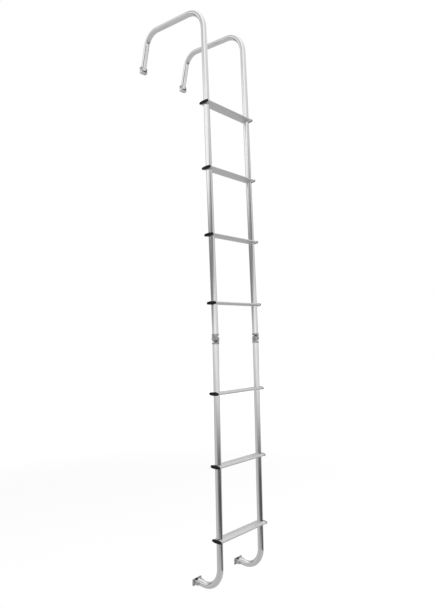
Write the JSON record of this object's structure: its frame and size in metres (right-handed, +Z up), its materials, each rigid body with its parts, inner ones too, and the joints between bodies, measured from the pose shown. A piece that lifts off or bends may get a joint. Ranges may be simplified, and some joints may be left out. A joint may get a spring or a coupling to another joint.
{
  "type": "rv roof ladder",
  "caption": "Two-section tubular ladder with flat steps, a hinge in each rail, hooked tops over the roof edge and pivoting feet for the wall and roof.",
  "frame": {"origin": "middle of the lower left foot's flat face, where it meets the rear wall of the vehicle", "axes": "+Z up, +X along the steps from the climber's left to the right, +Y from the climber towards the vehicle"},
  "size_m": [0.308, 0.4697, 2.4416],
  "materials": {
    "tube": "bright anodised, satin",
    "step": "extruded, fluted top, satin",
    "casting": "cast, tumbled",
    "bolt": "zinc plated",
    "cap": "moulded"
  },
  "bodies": {
    "lower_section": {"left_lower_rail": "tube", "right_lower_rail": "tube", "left_hinge_lower": "casting", "right_hinge_lower": "casting", "left_hinge_bolt": "bolt", "right_hinge_bolt": "bolt", "left_lower_plug": "cap", "right_lower_plug": "cap", "step_1": "step", "step_1_left_cap": "cap", "step_1_right_cap": "cap", "step_2": "step", "step_2_left_cap": "cap", "step_2_right_cap": "cap", "step_3": "step", "step_3_left_cap": "cap", "step_3_right_cap": "cap"},
    "upper_section": {"left_upper_rail": "tube", "right_upper_rail": "tube", "left_hinge_upper": "casting", "right_hinge_upper": "casting", "left_upper_plug": "cap", "right_upper_plug": "cap", "step_4": "step", "step_4_left_cap": "cap", "step_4_right_cap": "cap", "step_5": "step", "step_5_left_cap": "cap", "step_5_right_cap": "cap", "step_6": "step", "step_6_left_cap": "cap", "step_6_right_cap": "cap", "step_7": "step", "step_7_left_cap": "cap", "step_7_right_cap": "cap"},
    "left_lower_swivel": {"left_lower_foot": "casting", "left_lower_pin": "bolt"},
    "left_upper_swivel": {"left_upper_foot": "casting", "left_upper_pin": "bolt"},
    "right_lower_swivel": {"right_lower_foot": "casting", "right_lower_pin": "bolt"},
    "right_upper_swivel": {"right_upper_foot": "casting", "right_upper_pin": "bolt"}
  },
  "joints": [
    {"name": "section_hinge", "type": "hinge", "parent": "lower_section", "child": "upper_section", "pos_m": [0.129, -0.13267, 0.98307], "axis": [-1, 0, 0], "range_deg": [-60, 60]},
    {"name": "left_lower_foot_pivot", "type": "hinge", "parent": "lower_section", "child": "left_lower_swivel", "pos_m": [0, -0.021, 0], "axis": [1, 0, 0], "range_deg": [-40, 40]},
    {"name": "left_upper_foot_pivot", "type": "hinge", "parent": "upper_section", "child": "left_upper_swivel", "pos_m": [0, 0.29758, 2.26244], "axis": [1, 0, 0], "range_deg": [-40, 40]},
    {"name": "right_lower_foot_pivot", "type": "hinge", "parent": "lower_section", "child": "right_lower_swivel", "pos_m": [0.258, -0.021, 0], "axis": [1, 0, 0], "range_deg": [-40, 40]},
    {"name": "right_upper_foot_pivot", "type": "hinge", "parent": "upper_section", "child": "right_upper_swivel", "pos_m": [0.258, 0.29758, 2.26244], "axis": [1, 0, 0], "range_deg": [-40, 40]}
  ]
}
